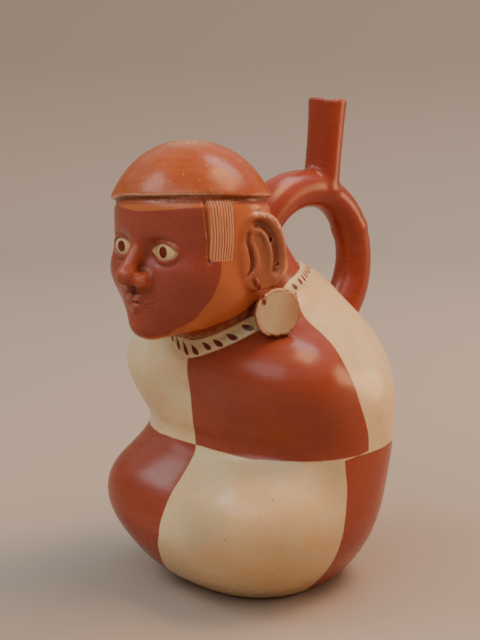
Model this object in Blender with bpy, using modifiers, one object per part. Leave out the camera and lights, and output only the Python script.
"""Stirrup spout vessel: a hollow fired-clay bottle shaped as a seated figure in a round cap.

The figure rests on its flat base at the origin, faces -Y and has +Z up. Its free form is drawn
in parts of its own height (PART), as fields: a field is below zero inside the clay, above zero
outside, and close to the distance from the surface. Walls, tubes, bores and the spout are sizes
in metres.
"""
import math

import bmesh
import bpy
import numpy as np
from mathutils import Euler, Matrix, Vector

for old in list(bpy.data.objects):
    bpy.data.objects.remove(old)

# The figure, from its base to the crown of the cap, and one of the 209 parts it is drawn in
FIGURE_HEIGHT = 0.209
PART = FIGURE_HEIGHT / 209.0

# Walls of the hollow body and head
WALL = 0.0045

# The stirrup: reach and rise of its loop, its middle (along Y, up), tube across, and wall
LOOP_REACH = 0.0380
LOOP_RISE = 0.0368
LOOP_MIDDLE = (29.3 * PART, 146.4 * PART)
STIRRUP_TUBE = 0.0170
STIRRUP_HEAD_ROOT = 0.0212
STIRRUP_REAR_ARM = 0.0192
STIRRUP_BACK_ROOT = 0.0176
STIRRUP_WALL = 0.0031

# The spout on the crown of the stirrup
SPOUT_LENGTH = 0.0363
SPOUT_FOOT = 0.0172
SPOUT_RIM = 0.0190
SPOUT_WALL = 0.0029
SPOUT_LEAN = math.radians(5.5)

# The ear ornaments: flat discs hung from the lobes by pegs, each backed by a pad of clay
DISC_ACROSS = 0.0218
DISC_THICK = 0.0029
DISC_CENTRE = (39.6, -29.6, 136.0)
DISC_TURN = math.radians(-20)
PEG_ACROSS = 0.0036
PEG_TOP = (35.8, -39.0, 151.2)
PEG_FOOT = (38.8, -37.0, 141.4)
PAD_CENTRE = (31.5, -27.5, 134.5)
PAD_RADII = (9.5, 6.0, 7.5)

# The cap: a dome cut off along a sloping edge, over a head that lies this much inside it
CAP_CENTRE = (0.0, -43.1, 165.0)
CAP_RADII = (41.1, 38.4, 44.3)
CAP_EDGE = 184.9
CAP_EDGE_SLOPE = -0.088
CAP_THICK = 2.0

# The ears: oval plates turned out at the back, with a trough inside the rim and a slit before it
EAR_CENTRE = (35.4, -36.5, 163.0)
EAR_HALF_WIDTH = 12.8
EAR_HALF_HEIGHT = 16.9
EAR_THICK = 6.0
EAR_FLARE = math.radians(-18)
EAR_LEAN = math.radians(7)
TROUGH_CENTRE = (-1.0, -2.0)
TROUGH_RADII = (8.7, 14.3)
TROUGH_ACROSS = 3.8
SLIT_HEIGHT = (-10, -7, -3.6, 0.8, 6.2, 10)
SLIT_PLACE = (-8.2, -5.2, -4.3, -4.7, -6.0, -4.6)
SLIT_ACROSS = 2.4

# Cross-sections of the seated body: height, half width, reach to the front and to the back
BODY_HEIGHT = (-6, 0, 8, 20, 34, 50, 62, 71, 82, 95, 108, 120, 132, 143, 152)
BODY_WIDTH = (30, 36, 44.5, 54, 60, 62.7, 63.1, 62.9, 63.1, 61.7, 56, 44, 29, 17, 3)
BODY_FRONT = (28, 36, 47.5, 59, 64.5, 57.5, 46.5, 40, 41.6, 44, 46.5, 42.5, 30, 14, -6)
BODY_BACK = (26, 33.5, 41.5, 47, 50.5, 52.2, 52.6, 53, 54, 55.5, 55.3, 52.5, 44.5, 35, 25)
BODY_SQUARENESS = 2.35

# The loft: each row is a ring of rays from a point of the spine. Columns: reach of the point
# along Y, its height, tilt of the ring (front down), rise of its rays, and rings up to the next
SPINE = (
    (-2, 22, 0, -90, 1),
    (-2, 22, 0, -52, 1),
    (-2, 22, 0, -34, 3),
    (-2, 22, 0, -20, 2),
    (-2, 22, 0, 0, 8),
    (-1, 95, 0, 0, 3),
    (-5, 112, 18, 0, 3),
    (-12, 128, 30, 0, 3),
    (-22, 143, 36, 0, 5),
    (-32, 155, 30, 0, 6),
    (-36, 160.5, 21, 0, 7),
    (-39, 165, 15, 0, 8),
    (-42, 174, 4, 0, 4),
    (-43, 184.3, -5, 0, 1),
    (-43, 185.5, -5, 0, 1),
    (-43, 188.5, -3, 0, 6),
    (-43, 188.5, 0, 90, 0),
)
COLUMNS = 42


def smooth_min(a, b, reach):
    """Union of two fields, with a fillet that starts where they differ by less than reach."""
    share = np.clip(0.5 + 0.5 * (b - a) / reach, 0.0, 1.0)
    return b + (a - b) * share - reach * share * (1.0 - share)


def smooth_max(a, b, reach):
    """Overlap of two fields, with a rounded edge."""
    return -smooth_min(-a, -b, reach)


def pillow(points, centre, radii, squareness=2.0):
    """Field of a superellipsoid."""
    radii = np.array(radii, float)
    q = np.abs(points - np.array(centre)) / radii + 1e-9
    total = (q ** squareness).sum(1)
    size = total ** (1.0 / squareness)
    slope = (total ** (1.0 / squareness - 1.0))[:, None] * q ** (squareness - 1.0) / radii
    return (size - 1.0) / np.sqrt((slope ** 2).sum(1) + 1e-12)


def rod(points, start, end, start_radius, end_radius):
    """Field of a round-ended rod that tapers from start to end."""
    start, end = np.array(start, float), np.array(end, float)
    along = end - start
    share = np.clip((points - start) @ along / (along @ along), 0.0, 1.0)
    gap = np.linalg.norm(points - start - share[:, None] * along, axis=1)
    return gap - (start_radius + (end_radius - start_radius) * share)


def smooth_curve(stations, values, where):
    """Cubic curve through the stations, with slopes taken from each station's neighbours."""
    x, y = np.array(stations, float), np.array(values, float)
    rise = np.diff(y) / np.diff(x)
    step = np.diff(x)
    slope = np.empty_like(y)
    slope[1:-1] = (rise[:-1] * step[1:] + rise[1:] * step[:-1]) / (step[1:] + step[:-1])
    slope[0], slope[-1] = rise[0], rise[-1]
    where = np.clip(where, x[0], x[-1])
    i = np.clip(np.searchsorted(x, where) - 1, 0, len(x) - 2)
    t = (where - x[i]) / step[i]
    bend = (t ** 3 - 2 * t ** 2 + t) * slope[i] + (t ** 3 - t ** 2) * slope[i + 1]
    return (2 * t ** 3 - 3 * t ** 2 + 1) * y[i] + (3 * t ** 2 - 2 * t ** 3) * y[i + 1] + bend * step[i]


def mirrored(points):
    """The points with X made positive, so that a form on the left stands on the right as well."""
    return np.stack([np.abs(points[:, 0]), points[:, 1], points[:, 2]], 1)


def body_field(points):
    """Seated body: superellipse sections on the body curves, with arms and knees swelling out."""
    z = points[:, 2]
    width = smooth_curve(BODY_HEIGHT, BODY_WIDTH, z)
    front = smooth_curve(BODY_HEIGHT, BODY_FRONT, z)
    back = smooth_curve(BODY_HEIGHT, BODY_BACK, z)
    depth = (front + back) / 2
    x = np.abs(points[:, 0]) / width + 1e-9
    y = np.abs(points[:, 1] - (back - front) / 2) / depth + 1e-9
    total = x ** BODY_SQUARENESS + y ** BODY_SQUARENESS
    size = total ** (1.0 / BODY_SQUARENESS)
    slope_x = x ** (BODY_SQUARENESS - 1.0) / width
    slope_y = y ** (BODY_SQUARENESS - 1.0) / depth
    slope = total ** (1.0 / BODY_SQUARENESS - 1.0) * np.sqrt(slope_x ** 2 + slope_y ** 2 + 1e-12)
    field = smooth_max(0.85 * (size - 1.0) / slope, z - 150, 8)
    arm = pillow(mirrored(points), (34, -18, 104), (26, 26, 22))
    knee = pillow(mirrored(points), (30, -32, 45), (27, 27, 19))
    field = smooth_min(field, arm, 14)
    return smooth_min(field, knee, 14)


def trunk_field(points):
    """Body, neck and plain head, without the carving of the face."""
    field = body_field(points)
    nape = rod(points, (0, -29, 157), (0, -1, 124), 30.5, 29)
    field = smooth_min(field, nape, 10)
    side = mirrored(points)
    skull = pillow(side, (0, -43, 167), (34.2, 31.8, 50), 2.2)
    skull = smooth_max(skull, pillow(points, CAP_CENTRE, CAP_RADII) + CAP_THICK, 2)
    jaw = pillow(side, (0, -50, 146.5), (24.5, 22.4, 20.3), 2.2)
    jaw_angle = pillow(side, (20, -44, 148.5), (11.5, 13.5, 13))
    head = smooth_min(smooth_min(skull, jaw, 8), jaw_angle, 7)
    return smooth_min(field, head, 5)


def face_field(points, field):
    """Cheeks, chin, muzzle, brow, eyes, nose and lips, added to the head in soft swells."""
    side = mirrored(points)
    swells = (
        (pillow(side, (17, -58, 153.5), (11.5, 13.2, 10)), 7),
        (pillow(side, (0, -68.2, 131.6), (9.0, 8.2, 7.2)), 8),
        (pillow(side, (0, -65.0, 143), (13, 11.2, 9)), 6),
        (rod(side, (2, -71.4, 171.8), (24, -59.8, 170.2), 3.3, 2.2), 5),
    )
    for swell, reach in swells:
        field = smooth_min(field, swell, reach)
    socket = pillow(side, (13.6, -77, 163.6), (9.6, 6.6, 6.6))
    field = smooth_max(field, -socket, 4)
    eye = pillow(side, (13.6, -64, 164), (8.8, 9.4, 7.0))
    bridge = rod(side, (0, -71.6, 169.8), (0, -80, 154.8), 3.0, 4.1)
    tip = pillow(side, (0, -80.9, 153), (4.8, 4.8, 4.2))
    wing = pillow(side, (5.1, -76.6, 151.6), (3.8, 4.8, 3.7))
    for swell, reach in ((eye, 1.5), (bridge, 3), (tip, 3), (wing, 2.2)):
        field = smooth_min(field, swell, reach)
    upper_lip = rod(side, (0, -76.2, 143.8), (9.6, -71.8, 142.3), 1.9, 0.8)
    lower_lip = rod(side, (0, -75.6, 139.5), (8.6, -71.8, 141.1), 2.4, 1.0)
    return smooth_min(field, np.minimum(upper_lip, lower_lip), 1.2)


def figure_field(points):
    """The whole figure: trunk with the face's carving and the cap, cut off flat at the base."""
    field = face_field(points, trunk_field(points))
    edge = CAP_EDGE + CAP_EDGE_SLOPE * (points[:, 1] - CAP_CENTRE[1])
    cap = smooth_max(pillow(points, CAP_CENTRE, CAP_RADII), edge - points[:, 2], 1)
    return smooth_max(np.minimum(field, cap), -points[:, 2], 4)


def cavity_field(points):
    """The hollow inside: the plain form drawn in by the wall all round."""
    field = smooth_max(trunk_field(points), -points[:, 2], 4)
    dome = smooth_max(pillow(points, CAP_CENTRE, CAP_RADII), CAP_EDGE - points[:, 2], 4)
    return smooth_min(field, dome, 4) + WALL / PART


def spine_rows(fineness):
    """Point, tilt and rise of every ring of the loft, worked out along the spine."""
    rows = []
    for here, after in zip(SPINE, SPINE[1:]):
        count = max(1, round(here[4] * fineness))
        for step in range(count):
            share = step / count
            rows.append([a + (b - a) * share for a, b in zip(here[:4], after[:4])])
    return np.array(rows[1:])


def reach_along(field, origin, direction, furthest=95.0):
    """Distance along each ray to where it first leaves the clay, found by scan and halving."""
    steps = 96
    far = np.full(len(origin), furthest / steps)
    alive = np.ones(len(origin), bool)
    for step in range(1, steps):
        at = furthest * step / steps
        inside = field(origin + direction * at) < 0
        alive &= inside
        far[alive] = at
    low, high = far.copy(), far + furthest / steps
    for _ in range(22):
        middle = (low + high) / 2
        inside = field(origin + direction * middle[:, None]) < 0
        low, high = np.where(inside, middle, low), np.where(inside, high, middle)
    return (low + high) / 2


def loft(name, field, columns, fineness, collection):
    """Closed surface of a field: rings of rays along the spine, closed by a point at each end."""
    rows = spine_rows(fineness)
    turn = np.arange(columns) * 2 * math.pi / columns
    turn = turn - 0.52 * np.sin(turn)
    tilt, rise = np.radians(rows[:, 2])[:, None], np.radians(rows[:, 3])[:, None]
    forward = np.cos(turn)[None] * np.cos(rise)
    x = np.sin(turn)[None] * np.cos(rise)
    y = -forward * np.cos(tilt) + np.sin(rise) * -np.sin(tilt)
    z = -forward * np.sin(tilt) + np.sin(rise) * np.cos(tilt)
    direction = np.stack([x, y, z], 2).reshape(-1, 3)
    origin = np.repeat(np.stack([0 * rows[:, 0], rows[:, 0], rows[:, 1]], 1), columns, axis=0)
    poles = np.array([[0, SPINE[0][0], SPINE[0][1]], [0, SPINE[-1][0], SPINE[-1][1]]], float)
    origin = np.vstack([origin, poles])
    direction = np.vstack([direction, [[0, 0, -1], [0, 0, 1]]])
    points = origin + direction * reach_along(field, origin, direction)[:, None]
    count = len(rows)
    ring = np.arange(count * columns).reshape(count, columns)
    after = np.roll(ring, -1, axis=1)
    faces = np.stack([ring[:-1], after[:-1], after[1:], ring[1:]], 2).reshape(-1, 4).tolist()
    bottom, top = count * columns, count * columns + 1
    faces += [(int(b), int(a), bottom) for a, b in zip(ring[0], after[0])]
    faces += [(int(a), int(b), top) for a, b in zip(ring[-1], after[-1])]
    mesh = bpy.data.meshes.new(name)
    mesh.from_pydata((points * PART).tolist(), [], faces)
    return add_object(name, mesh, collection)


def add_object(name, mesh, collection):
    """Object of a mesh, in a collection."""
    made = bpy.data.objects.new(name, mesh)
    collection.objects.link(made)
    return made


def ball(name, centre, radii, segments, rings, collection):
    """Ellipsoid given in parts."""
    mesh = bpy.data.meshes.new(name)
    shape = bmesh.new()
    bmesh.ops.create_uvsphere(shape, u_segments=segments, v_segments=rings, radius=1.0)
    place = Matrix.Scale(PART, 4) @ Matrix.Translation(centre) @ Matrix.Diagonal((*radii, 1.0))
    bmesh.ops.transform(shape, matrix=place, verts=shape.verts)
    shape.to_mesh(mesh)
    shape.free()
    return add_object(name, mesh, collection)


def oval_plate(name, place, half_width, half_height, thick, segments, collection):
    """Flat oval with softened edges: thick along the X of its place, wide along Y, high along Z."""
    mesh = bpy.data.meshes.new(name)
    shape = bmesh.new()
    bmesh.ops.create_cone(
        shape, cap_ends=True, segments=segments, radius1=half_width, radius2=half_width, depth=thick
    )
    rims = [e for e in shape.edges if abs(e.verts[0].co.z - e.verts[1].co.z) < thick / 10]
    bmesh.ops.bevel(shape, geom=rims, offset=thick * 0.3, segments=1, affect="EDGES")
    stand = Matrix.Diagonal((1.0, 1.0, half_height / half_width, 1.0)) @ Matrix.Rotation(math.pi / 2, 4, "Y")
    bmesh.ops.transform(shape, matrix=place @ stand, verts=shape.verts)
    shape.to_mesh(mesh)
    shape.free()
    return add_object(name, mesh, collection)


def tube(name, path, radii, sides, collection):
    """Closed round tube along a path of points, made a mesh with its caps welded on."""
    curve = bpy.data.curves.new(name, "CURVE")
    curve.dimensions = "3D"
    curve.bevel_depth = 1.0
    curve.bevel_resolution = (sides - 4) // 2
    curve.use_fill_caps = True
    line = curve.splines.new("POLY")
    line.points.add(len(path) - 1)
    for point, place, radius in zip(line.points, path, radii):
        point.co = (*place, 1.0)
        point.radius = radius
    guide = add_object(name + "_guide", curve, collection)
    bpy.context.view_layer.update()
    evaluated = guide.evaluated_get(bpy.context.evaluated_depsgraph_get())
    mesh = bpy.data.meshes.new_from_object(evaluated)
    place = guide.matrix_world.copy()
    bpy.data.objects.remove(guide)
    shape = bmesh.new()
    shape.from_mesh(mesh)
    bmesh.ops.remove_doubles(shape, verts=shape.verts, dist=0.00001)
    bmesh.ops.recalc_face_normals(shape, faces=shape.faces)
    shape.to_mesh(mesh)
    shape.free()
    made = add_object(name, mesh, collection)
    made.matrix_world = place
    return made


def turned(name, profile, steps, place, collection):
    """Solid of revolution: a profile of (radius, height) from top to bottom, spun about Z."""
    mesh = bpy.data.meshes.new(name)
    points = [(radius, 0.0, height) for radius, height in profile]
    mesh.from_pydata(points, [(i, i + 1) for i in range(len(points) - 1)], [])
    made = add_object(name, mesh, collection)
    made.matrix_world = place
    screw = made.modifiers.new("Spin", "SCREW")
    screw.steps = steps
    screw.render_steps = steps
    screw.use_merge_vertices = True
    screw.merge_threshold = 0.00001
    return made


def corner(radius, height, size, start, end, count=4):
    """Points of an arc of the given size about (radius, height), from one angle to the other."""
    angles = [math.radians(start + (end - start) * step / count) for step in range(count + 1)]
    return [(radius + size * math.cos(a), height + size * math.sin(a)) for a in angles]


def loop_point(angle):
    """Point of the stirrup's middle line, at an angle up from the horizontal through its middle."""
    y = LOOP_MIDDLE[0] + LOOP_REACH * math.cos(angle)
    return (0.0, y, LOOP_MIDDLE[1] + LOOP_RISE * math.sin(angle))


def stirrup_path(count):
    """Middle line of the stirrup: from inside the head, over the loop, into the upper back."""
    start, end = math.radians(150), math.radians(-62)
    head_end = [(0.0, -14 * PART, 158.5 * PART), (0.0, -9 * PART, 162 * PART)]
    arc = [loop_point(start + (end - start) * step / count) for step in range(count + 1)]
    return head_end + arc + [(0.0, 40 * PART, 110 * PART), (0.0, 34 * PART, 108 * PART)]


def ear_place(side):
    """Frame of the left (1) or right (-1) ear: X out of its plate, Y to its back edge, Z up it."""
    centre = Matrix.Translation((EAR_CENTRE[0] * side, EAR_CENTRE[1], EAR_CENTRE[2]))
    turn = Euler((EAR_LEAN, 0, EAR_FLARE * side)).to_matrix().to_4x4()
    return Matrix.Scale(PART, 4) @ centre @ turn @ Matrix.Translation((-EAR_THICK / 4 * side, 0, 0))


def trough_line(side, count=9):
    """Line of the trough, on an oval from the top of the ear round its back to the lobe."""
    turns = [math.radians(80 + 138 * step / count) for step in range(count + 1)]
    y = [TROUGH_CENTRE[0] - TROUGH_RADII[0] * math.cos(turn) for turn in turns]
    z = [TROUGH_CENTRE[1] + TROUGH_RADII[1] * math.sin(turn) for turn in turns]
    return [ear_place(side) @ Vector((EAR_THICK / 2 * side, *point)) for point in zip(y, z)]


def slit_line(side, count=6):
    """Line of the slit before the ear's hollow, from top to bottom."""
    z = np.linspace(8.5, -9.0, count)
    y = smooth_curve(SLIT_HEIGHT, SLIT_PLACE, z)
    return [ear_place(side) @ Vector((EAR_THICK * 0.4 * side, *point)) for point in zip(y, z)]


def join(target, piece, operation):
    """Exact Boolean of a piece on the target, kept as a modifier."""
    change = target.modifiers.new(piece.name, "BOOLEAN")
    change.operation = operation
    change.solver = "EXACT"
    change.object = piece
    piece.hide_render = True
    piece.display_type = "WIRE"


def slipped_clay(name, colour, roughness):
    """Fired clay under burnished slip."""
    material = bpy.data.materials.new(name)
    material.use_nodes = True
    shader = material.node_tree.nodes["Principled BSDF"]
    shader.inputs["Base Color"].default_value = (*colour, 1.0)
    shader.inputs["Roughness"].default_value = roughness
    shader.inputs["Metallic"].default_value = 0.0
    return material


model = bpy.data.collections.new("stirrup_spout_vessel")
pieces = bpy.data.collections.new("joined_and_cut")
for group in (model, pieces):
    bpy.context.scene.collection.children.link(group)

# Body, neck, face and cap in one surface
vessel = loft("vessel", figure_field, COLUMNS, 1.0, model)
vessel.data.materials.append(slipped_clay("red_slip", (0.22, 0.045, 0.018), 0.35))

# Ears as oval plates with their trough and slit, and below each lobe a disc on a peg and a pad
for side_name, side in (("left", 1), ("right", -1)):
    ear = oval_plate(
        "ear_" + side_name, ear_place(side), EAR_HALF_WIDTH, EAR_HALF_HEIGHT, EAR_THICK, 26, pieces
    )
    join(vessel, ear, "UNION")
    for name, line, across in (
        ("trough_", trough_line(side), TROUGH_ACROSS), ("slit_", slit_line(side), SLIT_ACROSS)
    ):
        carving = tube(name + side_name, line, [across * PART / 2] * len(line), 8, pieces)
        join(vessel, carving, "DIFFERENCE")
    pad = ball("pad_" + side_name, (PAD_CENTRE[0] * side, *PAD_CENTRE[1:]), PAD_RADII, 12, 8, pieces)
    hang = Matrix.Translation(Vector((DISC_CENTRE[0] * side, *DISC_CENTRE[1:])) * PART)
    face_out = hang @ Matrix.Rotation(DISC_TURN * side, 4, "Z")
    disc = oval_plate(
        "disc_" + side_name, face_out, DISC_ACROSS / 2, DISC_ACROSS / 2, DISC_THICK, 24, pieces
    )
    lobe = Vector((PEG_TOP[0] * side, *PEG_TOP[1:])) * PART
    foot = Vector((PEG_FOOT[0] * side, *PEG_FOOT[1:])) * PART
    peg_radii = [PEG_ACROSS * 0.5, PEG_ACROSS * 0.4, PEG_ACROSS * 0.3]
    peg = tube("peg_" + side_name, [lobe, lobe.lerp(foot, 0.5), foot], peg_radii, 8, pieces)
    for piece in (pad, disc, peg):
        join(vessel, piece, "UNION")

# Stirrup: an arched tube whose roots swell where they are luted to the head and the back
path = stirrup_path(20)
along = np.linspace(0, 1, len(path))
across = (STIRRUP_HEAD_ROOT, STIRRUP_HEAD_ROOT, STIRRUP_TUBE, STIRRUP_REAR_ARM, STIRRUP_BACK_ROOT)
radii = smooth_curve((0, 0.08, 0.45, 0.8, 1), across, along) / 2
stirrup = tube("stirrup", path, radii.tolist(), 14, pieces)
stirrup_bore = tube("stirrup_bore", path, (radii - STIRRUP_WALL).tolist(), 10, pieces)

# Spout: a slightly flared tube with a rounded lip, leaning back from the stirrup's crown
place = Matrix.Translation(loop_point(math.radians(70))) @ Matrix.Rotation(-SPOUT_LEAN, 4, "X")
top = SPOUT_LENGTH + STIRRUP_TUBE / 2
lip = SPOUT_WALL / 2
rim, foot = SPOUT_RIM / 2, SPOUT_FOOT / 2
outline = [(0.0, top)] + corner(rim - lip, top - lip, lip, 90, 0)
outline += [(foot, STIRRUP_TUBE / 2), (foot, 0.0), (0.0, 0.0)]
spout = turned("spout", outline, 24, place, pieces)
above = top + SPOUT_WALL
throat = [(0.0, above), (rim - lip, above)] + corner(rim - lip, top - lip, lip, 90, 180)
throat += [(foot - SPOUT_WALL, STIRRUP_TUBE / 2), (foot - SPOUT_WALL, 0.0), (0.0, 0.0)]
mouth = turned("mouth", throat, 20, place, pieces)

# The hollow: one room through body and head, open to the mouth through both arms of the stirrup
cavity = loft("cavity", cavity_field, 22, 0.5, pieces)
join(vessel, stirrup, "UNION")
join(vessel, spout, "UNION")
for hollow in (cavity, stirrup_bore, mouth):
    join(vessel, hollow, "DIFFERENCE")

vessel.data.shade_smooth()
vessel.data.set_sharp_from_angle(angle=math.radians(40))
